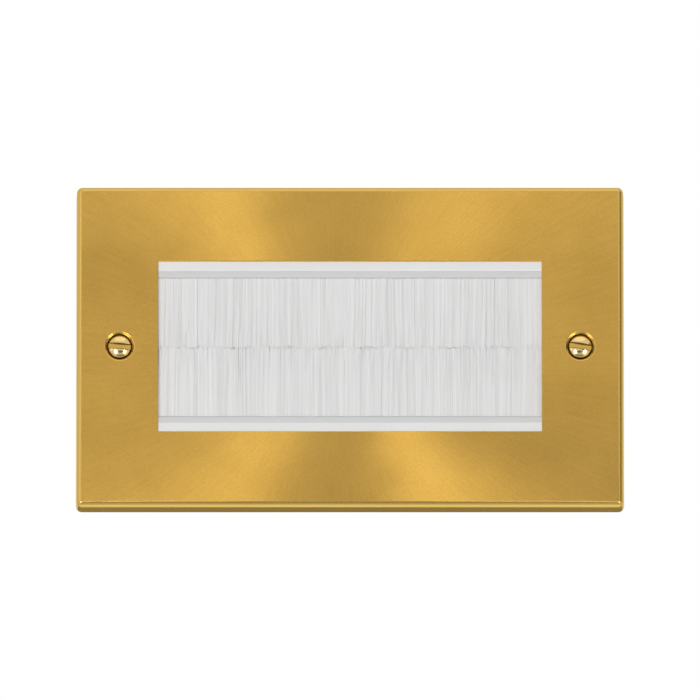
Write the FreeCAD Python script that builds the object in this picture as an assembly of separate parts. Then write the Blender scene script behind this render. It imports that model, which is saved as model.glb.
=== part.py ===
import FreeCAD, Part
import math
import os

from FreeCAD import Vector

# The frame of the whole wall plate
# X runs to the right, Z up and Y into the wall. The wall's surface is y = 0.
# All sizes are in millimetres.

# Front plate: brass sheet whose edges roll back into a skirt that stands on the wall
fixing_centres = 120.6  # of the screws, as the lugs of a twin wall box stand
plate_end = 11.45  # from a screw's centre to the outline's end
screw_margin = 10.1  # from a screw's centre to the aperture's edge
aperture_height = 45.6
plate_border = 20.2  # above and below the aperture
plate_depth = 7.0  # from the wall to the front face
plate_sheet = 0.9
plate_corner = 2.0  # radius of the outline's corners at the wall
plate_roll = 1.4  # outer radius between the face and the skirt
plate_flare = 0.2  # how far each side of the skirt spreads out on its way to the wall

# Screw dimples, pressed into the sheet
dimple_mouth = 8.0
dimple_bore = 4.2
dimple_lip = 0.8  # straight part behind the cone

# Fixing screws: raised countersunk heads with a slot
screw_thread = 3.5
screw_length = 25.0  # from the head's rim to the tip
screw_head = 6.3
screw_rim = 0.15
screw_dome = 1.15
screw_slot = 1.1
screw_slot_depth = 1.0
screw_slot_tilt = 7.5  # degrees, right end down
screw_point = 0.8
screw_waist = 2.9  # plain neck that turns in the retainer
screw_seat_gap = 0.03
waist_play = 0.6  # how far the screw can back out before its thread meets the retainer
retainer_width = 8.6
retainer_thickness = 1.2
retainer_gap = 0.05

# Brush frame: a moulded box whose front lips close against the back of the sheet
lip_height = 2.6  # what shows of each lip between the aperture's edge and its strip holder
lip_thickness = 1.2
window_margin = 0.25  # how far the window's ends stand outside the aperture
case_wall = 1.6
case_depth = 11.0
case_side_gap = 0.2
flange_end = 1.75  # how far the flange stands out beyond the box at the ends
flange_side = 2.2  # and along the top and the bottom

# Strip holders: extruded sections that grip the brush strips behind the lips
nose_height = 1.6  # the band that shows between lip and bristles
nose_recess = 0.15
holder_wall = 0.6
holder_rise = 3.1  # from the lip's edge to the top of the holder
holder_gap = 0.1
holder_end_gap = 0.15

# Brush strips: bristles folded over a core wire and crimped into a channel
channel_width = 2.3
channel_height = 3.1
channel_sheet = 0.4
channel_gap = 0.05
wire_width = 0.9
wire_gap = 0.05
bristle_cover = 0.35  # layer of bristles over the core wire
mouth_thickness = 3.0
tip_thickness = 2.2
tuft_pitch = 2.5
tuft_mouth_share = 0.97  # a tuft's width at the holder, as a share of the pitch
tuft_tip_share = 0.84
tuft_lean = 0.1
row_gap = 0.06  # between the front and the back row of tufts
tip_gap = 0.2
tip_uneven = 0.4

# Keeper: a ring that snaps into the back of the brush frame and traps both holders
keeper_thickness = 2.2
keeper_rail = 4.2  # height of its long bars
keeper_post = 2.6  # width of its end bars
keeper_gap = 0.1
snap_width = 7.0
snap_height = 1.2
snap_reach = 0.8
snap_gap = 0.2
snap_count = 3
snap_pitch = 34.0

# Mounting frame: a ribbed moulding that clamps the brush frame to the sheet
mount_end = 3.55  # beyond the box at the ends
mount_clearance = 5.0  # from the outline's top and bottom
mount_corner = 4.0
mount_base = 2.2
mount_depth = 4.6
mount_wall = 1.4
mount_gap = 0.2
relief_gap = 1.7  # around the screw retainers
rib_thickness = 1.1
boss_width = 8.4
boss_height = 3.2

# Welded studs and their nuts
stud_inset = 12.0  # from the frame's ends
stud_thread = 3.0
stud_length = 5.8
stud_gap = 0.15
nut_across_flats = 5.5
nut_height = 2.4
nut_gap = 0.05
bays_per_side = 3  # rib bays between the middle of the frame and a stud

# Earth terminal on a strip that is welded to the sheet
earth_gap = 2.0  # from the mounting frame
earth_drop = 19.0  # from the outline's bottom to the middle of the foot
earth_strip = 0.8
earth_width = 7.0
earth_foot = 9.0
earth_leg = 13.5
block_depth = 9.0
block_height = 7.0
wire_bore = 3.0
clamp_thread = 3.2
clamp_head = 5.0
clamp_head_height = 1.8
clamp_slot = 0.8
clamp_stand_off = 0.6
rivet_width = 3.0
rivet_head = 4.6
rivet_head_height = 0.8

# Places that follow from the sizes above
plate_width = fixing_centres + 2 * plate_end
plate_height = aperture_height + 2 * plate_border
aperture_width = fixing_centres - 2 * screw_margin
face_y = -plate_depth
sheet_back = face_y + plate_sheet
dimple_depth = (dimple_mouth - dimple_bore) / 2
dimple_back = face_y + dimple_depth + dimple_lip
rim_y = face_y + (dimple_mouth - screw_head) / 2 - screw_rim - screw_seat_gap
lip_back = sheet_back + lip_thickness
lip_edge = aperture_height / 2 - lip_height
window_width = aperture_width + 2 * window_margin
case_inner_width = window_width + 2 * case_side_gap
case_inner_height = 2 * (lip_edge + holder_rise + holder_gap)
case_width = case_inner_width + 2 * case_wall
case_height = case_inner_height + 2 * case_wall
case_back = sheet_back + case_depth
flange_width = case_width + 2 * flange_end
flange_height = case_height + 2 * flange_side
mouth_z = lip_edge - holder_gap - nose_height
nose_front = sheet_back + nose_recess
nose_back = nose_front + holder_wall
holder_front = lip_back + holder_gap
holder_top = lip_edge + holder_rise
cavity_front = holder_front + holder_wall
cavity_back = cavity_front + channel_width + 2 * channel_gap
cavity_top = holder_top - holder_wall
holder_back = cavity_back + holder_wall
holder_length = window_width - 2 * holder_end_gap
strip_length = holder_length - 2 * holder_end_gap
channel_front = cavity_front + channel_gap
channel_top = cavity_top - channel_gap
channel_mouth = channel_top - channel_height
strip_middle = channel_front + channel_width / 2
root_thickness = channel_width - 2 * channel_sheet
root_top = channel_top - channel_sheet
wire_z = root_top - bristle_cover - wire_width / 2
mouth_middle = nose_back + holder_gap + mouth_thickness / 2
keeper_front = holder_back + keeper_gap / 2
mount_front = sheet_back
mount_hole_width = case_width + 2 * mount_gap
mount_hole_height = case_height + 2 * mount_gap
mount_width = mount_hole_width + 2 * mount_end
mount_height = plate_height - 2 * mount_clearance
stud_x = mount_width / 2 - stud_inset
stud_z = flange_height / 2 + mount_gap + boss_width / 2
earth_x = mount_width / 2 + earth_gap + earth_width / 2
earth_z = earth_drop - plate_height / 2
stud_points = [(sx * stud_x, sz * stud_z) for sx in (-1, 1) for sz in (-1, 1)]
fixing_points = {"left": -fixing_centres / 2, "right": fixing_centres / 2}


def slab(width, height, y_front, y_back):
    """A block centred on the Y axis."""
    corner = Vector(-width / 2, y_front, -height / 2)
    return Part.makeBox(width, y_back - y_front, height, corner)


def bar(x, y, z):
    """A block between two X, two Y and two Z values."""
    corner = Vector(x[0], y[0], z[0])
    return Part.makeBox(x[1] - x[0], y[1] - y[0], z[1] - z[0], corner)


def rod(width, x, z, y_start, y_end):
    """A round rod along Y."""
    return Part.makeCylinder(width / 2, y_end - y_start, Vector(x, y_start, z), Vector(0, 1, 0))


def turned(corners, x, z):
    """A solid of revolution about a line along Y, from its section's (radius, y, 0) corners."""
    section = Part.Face(Part.makePolygon(corners + corners[:1]))
    solid = section.revolve(Vector(0, 0, 0), Vector(0, 1, 0), 360)
    solid.translate(Vector(x, 0, z))
    return solid


def section_bar(corners, length):
    """A bar along X, centred on x = 0, from its section's (y, z) corners."""
    points = [Vector(-length / 2, y, z) for y, z in corners + corners[:1]]
    return Part.Face(Part.makePolygon(points)).extrude(Vector(length, 0, 0))


def mirrored(solid):
    """The same piece on the lower side."""
    return solid.mirror(Vector(0, 0, 0), Vector(0, 0, 1))


def rounded_outline(width, height, corner, y):
    """A closed loop with round corners, in the plane of y and centred on the Y axis."""
    x = width / 2 - corner
    z = height / 2 - corner
    centres = [(x, z), (-x, z), (-x, -z), (x, -z)]

    def on_corner(number, degrees):
        turn = math.radians(90 * number + degrees)
        cx, cz = centres[number % 4]
        return Vector(cx + corner * math.cos(turn), y, cz + corner * math.sin(turn))

    edges = []
    for n in range(4):
        edges.append(Part.Arc(on_corner(n, 0), on_corner(n, 45), on_corner(n, 90)).toShape())
        edges.append(Part.LineSegment(on_corner(n, 90), on_corner(n + 1, 0)).toShape())
    return Part.Wire(edges)


def pressed_form(inset):
    """The plate's outer form as a solid, shrunk by the inset on every side that shows."""
    front = face_y + inset
    draw_in = inset + plate_flare
    at_wall = rounded_outline(
        plate_width - 2 * inset, plate_height - 2 * inset, plate_corner - inset, 0
    )
    at_face = rounded_outline(
        plate_width - 2 * draw_in, plate_height - 2 * draw_in, plate_corner - draw_in, front
    )
    form = Part.makeLoft([at_wall, at_face], True, True)
    rolled = [e for e in form.Edges if all(abs(v.Y - front) < 1e-6 for v in e.Vertexes)]
    return form.makeFillet(plate_roll - inset, rolled)


def front_plate():
    """Pressed shell with the aperture and the two dimples."""
    shell = pressed_form(0).cut(pressed_form(plate_sheet))
    shell = shell.cut(slab(aperture_width, aperture_height, face_y - 1, sheet_back + 1))
    swell = plate_sheet * math.tan(math.radians(22.5))  # a cone keeps the sheet's thickness
    back_mouth = dimple_mouth / 2 + swell
    back_end = back_mouth - (dimple_back - sheet_back)
    for x in fixing_points.values():
        place = Vector(x, sheet_back, 0)
        cup = Part.makeCone(back_mouth, back_end, dimple_back - sheet_back, place, Vector(0, 1, 0))
        cone = Part.makeCone(
            dimple_mouth / 2, dimple_bore / 2, dimple_depth, Vector(x, face_y, 0), Vector(0, 1, 0)
        )
        shell = shell.fuse(cup).cut(cone.fuse(rod(dimple_bore, x, 0, face_y, dimple_back + 1)))
    return shell.removeSplitter()


def plate_studs():
    """Four threaded studs, welded to the back of the sheet."""
    end = sheet_back + stud_length
    return Part.makeCompound([rod(stud_thread, x, z, sheet_back, end) for x, z in stud_points])


def stud_nuts():
    """Hexagon nuts that hold the mounting frame down."""
    y = mount_front + boss_height
    nuts = []
    for x, z in stud_points:
        corners = []
        for n in range(7):
            turn = math.radians(60 * n)
            reach = nut_across_flats / math.sqrt(3)
            corners.append(Vector(x + reach * math.cos(turn), y, z + reach * math.sin(turn)))
        blank = Part.Face(Part.makePolygon(corners)).extrude(Vector(0, nut_height, 0))
        bore = rod(stud_thread + 2 * nut_gap, x, z, y - 1, y + nut_height + 1)
        nuts.append(blank.cut(bore))
    return Part.makeCompound(nuts)


def rib_lines():
    """X places of the frame's cross ribs, which share one pitch with the studs."""
    pitch = stud_x / bays_per_side
    return [n * pitch for n in range(1 - bays_per_side, bays_per_side)]


def mounting_frame():
    """Base, rims, cross ribs and bosses of the moulding behind the sheet."""
    base_back = mount_front + mount_base
    back = mount_front + mount_depth
    outer = Part.Face(rounded_outline(mount_width, mount_height, mount_corner, mount_front))
    trough = Part.Face(
        rounded_outline(
            mount_width - 2 * mount_wall,
            mount_height - 2 * mount_wall,
            mount_corner - mount_wall,
            base_back,
        )
    )
    body = outer.extrude(Vector(0, mount_depth, 0)).cut(trough.extrude(Vector(0, mount_depth, 0)))
    for x in fixing_points.values():
        relief = retainer_width / 2 + relief_gap
        body = body.cut(rod(2 * relief, x, 0, mount_front - 1, back + 1))
    collar_width = mount_hole_width + 2 * mount_wall
    body = body.fuse(slab(collar_width, mount_hole_height + 2 * mount_wall, mount_front, back))
    inner_edge = mount_hole_height / 2
    outer_edge = mount_height / 2 - mount_wall / 2
    for x in rib_lines():
        sides = (x - rib_thickness / 2, x + rib_thickness / 2)
        body = body.fuse(bar(sides, (base_back, back), (inner_edge, outer_edge)))
        body = body.fuse(bar(sides, (base_back, back), (-outer_edge, -inner_edge)))
    for x, z in stud_points:
        body = body.fuse(rod(boss_width, x, z, mount_front, mount_front + boss_height))
        access = rod(boss_width, x, z, mount_front + boss_height, back + 1)
        body = body.cut(access)
    body = body.cut(slab(mount_hole_width, mount_hole_height, mount_front - 1, back + 1))
    rebate = slab(
        flange_width + 2 * mount_gap, flange_height + 2 * mount_gap, mount_front - 1, lip_back
    )
    body = body.cut(rebate)
    for x, z in stud_points:
        body = body.cut(rod(stud_thread + 2 * stud_gap, x, z, mount_front - 1, back + 1))
    return body.removeSplitter()


def snap_places():
    """X places of the snap lugs on one long side."""
    middle = (snap_count - 1) / 2
    return [(n - middle) * snap_pitch for n in range(snap_count)]


def snap_range():
    """Y range of the snap lugs, in the middle of the keeper's thickness."""
    middle = keeper_front + keeper_thickness / 2
    return middle - snap_height / 2, middle + snap_height / 2


def brush_frame():
    """Front lips, flange and box walls in one moulding, with slots for the keeper's lugs."""
    flange = slab(flange_width, flange_height, sheet_back, lip_back)
    case = slab(case_width, case_height, sheet_back, case_back)
    cavity = slab(case_inner_width, case_inner_height, lip_back, case_back + 1)
    window = slab(window_width, 2 * lip_edge, sheet_back - 1, lip_back + 1)
    body = flange.fuse(case).cut(cavity).cut(window)
    low_y, high_y = snap_range()
    depth = (low_y - snap_gap, high_y + snap_gap)
    for x in snap_places():
        sides = (x - snap_width / 2 - snap_gap, x + snap_width / 2 + snap_gap)
        body = body.cut(bar(sides, depth, (-case_height, case_height)))
    return body.removeSplitter()


def brush_keeper():
    """Ring with snap lugs that seats on the backs of both holders."""
    width = case_inner_width - 2 * keeper_gap
    height = case_inner_height - 2 * keeper_gap
    back = keeper_front + keeper_thickness
    ring = slab(width, height, keeper_front, back)
    opening = slab(width - 2 * keeper_post, height - 2 * keeper_rail, keeper_front - 1, back + 1)
    ring = ring.cut(opening)
    low_y, high_y = snap_range()
    root = height / 2 - keeper_rail / 2
    tip = height / 2 + keeper_gap + snap_reach
    ramp = [(low_y, root), (low_y, tip), (low_y + snap_height / 3, tip)]
    ramp += [(high_y, height / 2), (high_y, root)]
    for x in snap_places():
        lug = section_bar(ramp, snap_width)
        lug.translate(Vector(x, 0, 0))
        ring = ring.fuse(lug).fuse(mirrored(lug))
    return ring.removeSplitter()


def strip_holder():
    """Extruded section: a nose in front, a step behind the lip and a pocket for the channel."""
    step_z = lip_edge - holder_gap
    corners = [
        (nose_front, mouth_z),
        (nose_front, step_z),
        (holder_front, step_z),
        (holder_front, holder_top),
        (holder_back, holder_top),
        (holder_back, mouth_z),
        (cavity_back, mouth_z),
        (cavity_back, cavity_top),
        (cavity_front, cavity_top),
        (cavity_front, step_z - holder_wall),
        (nose_back, step_z - holder_wall),
        (nose_back, mouth_z),
    ]
    return section_bar(corners, holder_length)


def strip_channel():
    """Folded metal channel that grips the roots of the bristles."""
    back = channel_front + channel_width
    outer = bar(
        (-strip_length / 2, strip_length / 2), (channel_front, back), (channel_mouth, channel_top)
    )
    inner = bar(
        (-strip_length, strip_length),
        (channel_front + channel_sheet, back - channel_sheet),
        (channel_mouth - 1, root_top),
    )
    return outer.cut(inner)


def core_wire():
    """Round wire that the bristles are folded over."""
    start = Vector(-strip_length / 2, strip_middle, wire_z)
    return Part.makeCylinder(wire_width / 2, strip_length, start, Vector(1, 0, 0))


def block_loop(x, y, z, half_width, half_thickness):
    """The four corners of a level rectangle."""
    signs = [(-1, -1), (1, -1), (1, 1), (-1, 1)]
    return [Vector(x + a * half_width, y + b * half_thickness, z) for a, b in signs]


def tuft(x, row, pitch, wave, lean):
    """One tapered tuft with flat sides, in the front row (-1) or the back row (1)."""
    low_z = tip_gap / 2 + tip_uneven * (1 + wave) / 2
    start = block_loop(
        x,
        mouth_middle + row * mouth_thickness / 4,
        mouth_z,
        pitch * tuft_mouth_share / 2,
        mouth_thickness / 4 - row_gap / 2,
    )
    end = block_loop(
        x + lean,
        mouth_middle + row * tip_thickness / 4,
        low_z,
        pitch * tuft_tip_share / 2,
        tip_thickness / 4 - row_gap / 2,
    )
    loops = [start, end]
    for n in range(4):
        m = (n + 1) % 4
        loops.append([start[n], start[m], end[m], end[n]])
    faces = [Part.Face(Part.makePolygon(loop + loop[:1])) for loop in loops]
    solid = Part.makeSolid(Part.makeShell(faces))
    if solid.Volume < 0:
        solid.reverse()
    return solid


def bristles(phase):
    """Two staggered rows of tufts on one root; the phase varies their lengths and leans."""
    sides = (root_thickness / 2, mouth_thickness / 2)
    root_section = [
        (strip_middle - sides[0], root_top),
        (strip_middle - sides[0], channel_mouth),
        (mouth_middle - sides[1], mouth_z),
        (mouth_middle + sides[1], mouth_z),
        (strip_middle + sides[0], channel_mouth),
        (strip_middle + sides[0], root_top),
    ]
    root = section_bar(root_section, strip_length)
    groove = Part.makeCylinder(
        wire_width / 2 + wire_gap,
        strip_length + 2,
        Vector(-strip_length / 2 - 1, strip_middle, wire_z),
        Vector(1, 0, 0),
    )
    root = root.cut(groove)
    count = round(strip_length / tuft_pitch)
    pitch = strip_length / (count + 0.5)
    tufts = []
    for row in (-1, 1):
        for n in range(count):
            x = (n + 0.75 + row / 4) * pitch - strip_length / 2
            wave = math.sin(2.4 * n + phase + row)
            lean = tuft_lean * math.sin(1.7 * n + 2 * phase + row)
            tufts.append(tuft(x, row, pitch, wave, lean))
    return root.fuse(tufts)


def screw_slot_cut(x, y_front, depth, width, slot, tilt):
    """A straight driver slot across a head, turned about the screw's axis."""
    cut = slab(2 * width, slot, y_front - 1, y_front + depth)
    cut.rotate(Vector(0, 0, 0), Vector(0, 1, 0), tilt)
    cut.translate(Vector(x, 0, 0))
    return cut


def fixing_screw(x):
    """Raised countersunk screw, seated in its dimple."""
    radius = screw_head / 2
    waist = screw_waist / 2
    shank = screw_thread / 2
    neck_y = rim_y + screw_rim + radius - waist
    thread_y = dimple_back + retainer_gap + retainer_thickness + waist_play
    tip_y = rim_y + screw_length
    dome_y = rim_y - screw_dome
    ball = (radius**2 + screw_dome**2) / (2 * screw_dome)
    sphere = Part.makeSphere(ball, Vector(x, dome_y + ball, 0), Vector(1, 0, 0))
    dome = rod(screw_head, x, 0, dome_y - 1, rim_y + screw_rim).common(sphere)
    corners = [
        Vector(0, rim_y, 0),
        Vector(radius, rim_y, 0),
        Vector(radius, rim_y + screw_rim, 0),
        Vector(waist, neck_y, 0),
        Vector(waist, thread_y, 0),
        Vector(shank, thread_y + shank - waist, 0),
        Vector(shank, tip_y - screw_point, 0),
        Vector(shank - screw_point / 2, tip_y, 0),
        Vector(0, tip_y, 0),
    ]
    screw = turned(corners, x, 0).fuse(dome).removeSplitter()
    depth = screw_slot_depth
    return screw.cut(screw_slot_cut(x, dome_y, depth, radius, screw_slot, screw_slot_tilt))


def screw_retainer(x):
    """Washer that keeps the screw captive behind its dimple."""
    start = dimple_back + retainer_gap
    end = start + retainer_thickness
    blank = rod(retainer_width, x, 0, start, end)
    return blank.cut(rod(screw_waist + 2 * retainer_gap, x, 0, start - 1, end + 1))


def earth_tab():
    """Bent strip: its foot is welded to the sheet and its leg carries the terminal."""
    sides = (earth_x - earth_width / 2, earth_x + earth_width / 2)
    leg_top = earth_z + earth_foot / 2
    foot = bar(
        sides, (sheet_back, sheet_back + earth_strip), (earth_z - earth_foot / 2, leg_top)
    )
    leg = bar(sides, (sheet_back, sheet_back + earth_leg), (leg_top - earth_strip, leg_top))
    hole = Part.makeCylinder(
        rivet_width / 2, 3 * earth_strip, Vector(earth_x, block_middle(), leg_top - 2 * earth_strip)
    )
    return foot.fuse(leg).cut(hole).removeSplitter()


def block_middle():
    """Y of the terminal block's middle, with its back edge level with the leg's end."""
    return sheet_back + earth_leg - block_depth / 2


def earth_terminal():
    """Brass block with a wire bore across, a threaded bore and a riveted spigot."""
    leg_top = earth_z + earth_foot / 2
    top = leg_top - earth_strip
    middle = block_middle()
    back = middle + block_depth / 2
    block = bar(
        (earth_x - earth_width / 2, earth_x + earth_width / 2),
        (middle - block_depth / 2, back),
        (top - block_height, top),
    )
    spigot = Part.makeCylinder(rivet_width / 2, earth_strip, Vector(earth_x, middle, top))
    head = Part.makeCylinder(rivet_head / 2, rivet_head_height, Vector(earth_x, middle, leg_top))
    across = Part.makeCylinder(
        wire_bore / 2,
        2 * earth_width,
        Vector(earth_x - earth_width, middle - block_depth / 6, top - block_height / 2),
        Vector(1, 0, 0),
    )
    thread = rod(clamp_thread, earth_x, top - block_height / 2, middle - block_depth / 6, back + 1)
    return block.fuse(spigot).fuse(head).cut(across).cut(thread).removeSplitter()


def earth_screw():
    """Clamp screw that enters the block from behind."""
    z = earth_z + earth_foot / 2 - earth_strip - block_height / 2
    back = block_middle() + block_depth / 2
    head_y = back + clamp_stand_off
    end_y = block_middle() - block_depth / 6 + wire_bore / 2
    shank = rod(clamp_thread - 2 * nut_gap, earth_x, z, end_y, head_y)
    head = rod(clamp_head, earth_x, z, head_y, head_y + clamp_head_height)
    slot = bar(
        (earth_x - clamp_head, earth_x + clamp_head),
        (head_y + clamp_head_height / 2, head_y + clamp_head_height + 1),
        (z - clamp_slot / 2, z + clamp_slot / 2),
    )
    return shank.fuse(head).cut(slot).removeSplitter()


def save(name, shape):
    """Writes one piece and prints what it is."""
    solids = len(shape.Solids)
    print(f"{name}: {solids} solid(s), {shape.Volume:.1f} mm3, valid {shape.isValid()}")
    shape.exportStep(f"parts/{name}.step")


def main():
    os.makedirs("parts", exist_ok=True)
    save("front_plate", front_plate())
    save("plate_studs", plate_studs())
    save("stud_nuts", stud_nuts())
    save("mounting_frame", mounting_frame())
    save("brush_frame", brush_frame())
    save("brush_keeper", brush_keeper())
    strips = {"upper": 0.0, "lower": 1.3}
    for side, phase in strips.items():
        pieces = {
            "strip_holder": strip_holder(),
            "strip_channel": strip_channel(),
            "core_wire": core_wire(),
            "bristles": bristles(phase),
        }
        for name, piece in pieces.items():
            save(f"{side}_{name}", piece if side == "upper" else mirrored(piece))
    for side, x in fixing_points.items():
        save(f"{side}_fixing_screw", fixing_screw(x))
        save(f"{side}_screw_retainer", screw_retainer(x))
    save("earth_tab", earth_tab())
    save("earth_terminal", earth_terminal())
    save("earth_screw", earth_screw())


main()
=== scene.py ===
import math

import bmesh
import bpy
import numpy as np
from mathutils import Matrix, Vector


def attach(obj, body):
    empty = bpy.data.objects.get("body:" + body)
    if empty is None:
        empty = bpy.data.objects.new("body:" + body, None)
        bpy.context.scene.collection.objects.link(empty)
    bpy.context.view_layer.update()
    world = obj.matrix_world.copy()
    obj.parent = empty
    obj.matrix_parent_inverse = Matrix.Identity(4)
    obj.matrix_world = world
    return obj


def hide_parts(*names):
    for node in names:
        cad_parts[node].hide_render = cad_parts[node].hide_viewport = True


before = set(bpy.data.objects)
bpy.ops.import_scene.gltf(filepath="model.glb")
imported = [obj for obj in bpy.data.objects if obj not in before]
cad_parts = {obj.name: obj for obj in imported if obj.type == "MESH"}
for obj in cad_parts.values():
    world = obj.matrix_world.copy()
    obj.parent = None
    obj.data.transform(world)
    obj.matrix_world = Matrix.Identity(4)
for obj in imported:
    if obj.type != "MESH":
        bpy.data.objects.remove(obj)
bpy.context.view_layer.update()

mm = 0.001  # the sizes below are in millimetres, the scene is in metres

# Brush wall plate: sizes that the pieces share. X to the right, Y into the wall, Z up.
plate = {
    "width": 143.5,
    "height": 86.0,
    "depth": 7.0,
    "sheet": 0.9,
    "corner": 1.65,  # radius of the corners as seen from the front
    "roll": 1.4,  # how far in from the edge the face starts to roll back
    "rollDepth": 2.0,  # and how deep the roll goes
    "flare": 0.2,
    "apertureWidth": 100.4,
    "apertureHeight": 45.6,
    "fixingCentres": 120.6,
    "dimpleMouth": 7.66,
    "dimpleBore": 4.2,
    "dimpleLip": 0.8,
    "dimpleSeat": 1.9,  # from the face back to the bore
    "dimpleEdge": 0.5,  # rounding of the dimple's mouth
    "dimpleBend": 45.0,  # degrees by which the sheet's back bends at the dimple
    "dimpleFlat": (0.1, 0.3),  # flat rings kept round the mouth, in front and behind
    "recessShade": (3.15, 3.34),  # radii between which the dimple's cone darkens with painted shade
    "cutEdge": 0.12,  # rounding of the aperture's edges
    "pad": 6.5,  # half side of the flat square around each dimple
    "gridStep": 6.0,  # largest cell of the flat parts
    "rollSteps": 10,
    "mouthSteps": 6,
    "cutSteps": 3,
    "cornerSteps": 8,
    "dimpleSteps": 16,  # points along one side of that square
}


def roundSteps(centre, radius, start, stop, steps):
    # points on an arc, as angle in degrees from the first axis towards the second
    turn = np.radians(np.linspace(start, stop, steps + 1))
    return np.stack([centre[0] + radius * np.cos(turn), centre[1] + radius * np.sin(turn)], 1)


def stackPoints(x, y, z):
    # coordinates that broadcast together, as one array of points
    return np.stack(np.broadcast_arrays(x, y, z), -1)


def roundCorners(corners, radii, steps=4):
    # closed outline whose corners become arcs: each arc touches both sides at radius * tan(turn / 2)
    corners = np.array(corners, float)
    points = []
    for n, radius in enumerate(radii):
        before, here, after = corners[n - 1], corners[n], corners[(n + 1) % len(corners)]
        a = (before - here) / np.linalg.norm(before - here)
        b = (after - here) / np.linalg.norm(after - here)
        if radius <= 0:
            points.append(here[None])
            continue
        half = math.acos(float(np.clip(a @ b, -1, 1))) / 2
        out = -(a + b) / np.linalg.norm(a + b)
        side = (b - a) / np.linalg.norm(b - a)
        middle = here - out * radius / math.sin(half)
        t = np.linspace(-1, 1, steps + 1)[:, None] * (math.pi / 2 - half)
        points.append(middle + radius * (np.cos(t) * out + np.sin(t) * side))
    return np.concatenate(points)


def readValues(items, key, width=1, kind=float):
    # one property of all vertices or faces, as rows of width
    values = np.empty(len(items) * width, kind)
    items.foreach_get(key, values)
    return values.reshape(-1, width) if width > 1 else values


def newMesh(name, points, corners, sizes):
    # points in metres, the faces' corners one after another, and each face's number of corners
    mesh = bpy.data.meshes.new(name)
    mesh.vertices.add(len(points))
    mesh.vertices.foreach_set("co", points.ravel())
    mesh.loops.add(len(corners))
    mesh.loops.foreach_set("vertex_index", corners.astype(np.int32))
    mesh.polygons.add(len(sizes))
    mesh.polygons.foreach_set("loop_start", np.r_[0, np.cumsum(sizes)[:-1]].astype(np.int32))
    mesh.update(calc_edges=True)
    return mesh


def newObject(name, data):
    item = bpy.data.objects.new(name, data)
    bpy.context.scene.collection.objects.link(item)
    return item


def setAttribute(mesh, name, values, domain="POINT"):
    layer = mesh.attributes.new(name, "FLOAT", domain)
    layer.data.foreach_set("value", values.astype(np.float32))


class Shell:
    # collects grids of points and flat caps, and makes them one mesh

    def __init__(self):
        self.points = []
        self.faces = []
        self.total = 0

    def addGrid(self, grid, closeU=False, closeV=False, keep=None, flip=False):
        # grid[u, v] is a point; each cell becomes a quad, apart from those that keep leaves out
        rows, columns = grid.shape[:2]
        index = np.arange(rows * columns).reshape(rows, columns) + self.total
        if closeU:
            index = np.concatenate([index, index[:1]], 0)
        if closeV:
            index = np.concatenate([index, index[:, :1]], 1)
        cells = np.stack([index[:-1, :-1], index[1:, :-1], index[1:, 1:], index[:-1, 1:]], -1)
        cells = cells[keep] if keep is not None else cells.reshape(-1, 4)
        self.faces.append(cells[:, ::-1] if flip else cells)
        self.points.append(grid.reshape(-1, 3))
        self.total += rows * columns

    def addCap(self, loop, flip=False):
        # a flat face inside a loop of points
        index = np.arange(len(loop))[None] + self.total
        self.faces.append(index[:, ::-1] if flip else index)
        self.points.append(loop)
        self.total += len(loop)

    def build(self, name, sharp=30.0, weld=0.0005):
        # weld is the distance in millimetres within which points of neighbouring grids are one
        corners = np.concatenate([faces.ravel() for faces in self.faces])
        sizes = np.concatenate([np.full(len(faces), faces.shape[1]) for faces in self.faces])
        mesh = newMesh(name, np.concatenate(self.points) * mm, corners, sizes)
        if weld:
            work = bmesh.new()
            work.from_mesh(mesh)
            bmesh.ops.remove_doubles(work, verts=work.verts, dist=weld * mm)
            bmesh.ops.dissolve_degenerate(work, edges=work.edges, dist=weld * mm)
            work.to_mesh(mesh)
            work.free()
        mesh.polygons.foreach_set("use_smooth", np.ones(len(mesh.polygons), bool))
        mesh.set_sharp_from_angle(angle=math.radians(sharp))
        mesh.update()
        return newObject(name, mesh)


def addRadialMap(piece):
    # U runs outwards from the satin's centre and on down the sides, V round it; a face that
    # crosses the line where the angle starts again gets one more turn
    mesh = piece.data
    points = readValues(mesh.vertices, "co", 3)
    corners = readValues(mesh.loops, "vertex_index", 1, np.int32)
    sizes = readValues(mesh.polygons, "loop_total", 1, np.int32)
    centreX, centreZ = (v * mm for v in satinBrass["centre"])
    acrossX, acrossZ = points[:, 0] - centreX, points[:, 2] - centreZ
    turns = (np.arctan2(acrossZ, acrossX) / (2 * np.pi))[corners]
    starts = np.r_[0, np.cumsum(sizes)[:-1]]
    crosses = np.maximum.reduceat(turns, starts) - np.minimum.reduceat(turns, starts) > 0.5
    turns += np.repeat(crosses, sizes) & (turns < 0)
    reach = np.hypot(acrossX, acrossZ) + points[:, 1] + plate["depth"] * mm
    layer = mesh.uv_layers.new(name="radial")
    perMetre, perTurn = satinBrass["mapUnits"]
    values = np.stack([reach[corners] * perMetre, turns * perTurn], 1)
    layer.data.foreach_set("uv", values.astype(np.float32).ravel())


def finishPiece(piece, node, slot):
    # the piece stands for its CAD node, takes its slot's look and rides on the only body
    piece.data.materials.clear()
    piece.data.materials.append(looks[slot])
    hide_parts(node)
    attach(piece, "root")
    print("made", piece.name, len(piece.data.polygons), "faces")


softening = {
    "merge": 0.001,  # corners this close are one
    "flat": 1.0,  # degrees up to which neighbouring faces become one
    "sharp": 30.0,  # degrees from which an edge is rounded
    "segments": 2,
}


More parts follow.
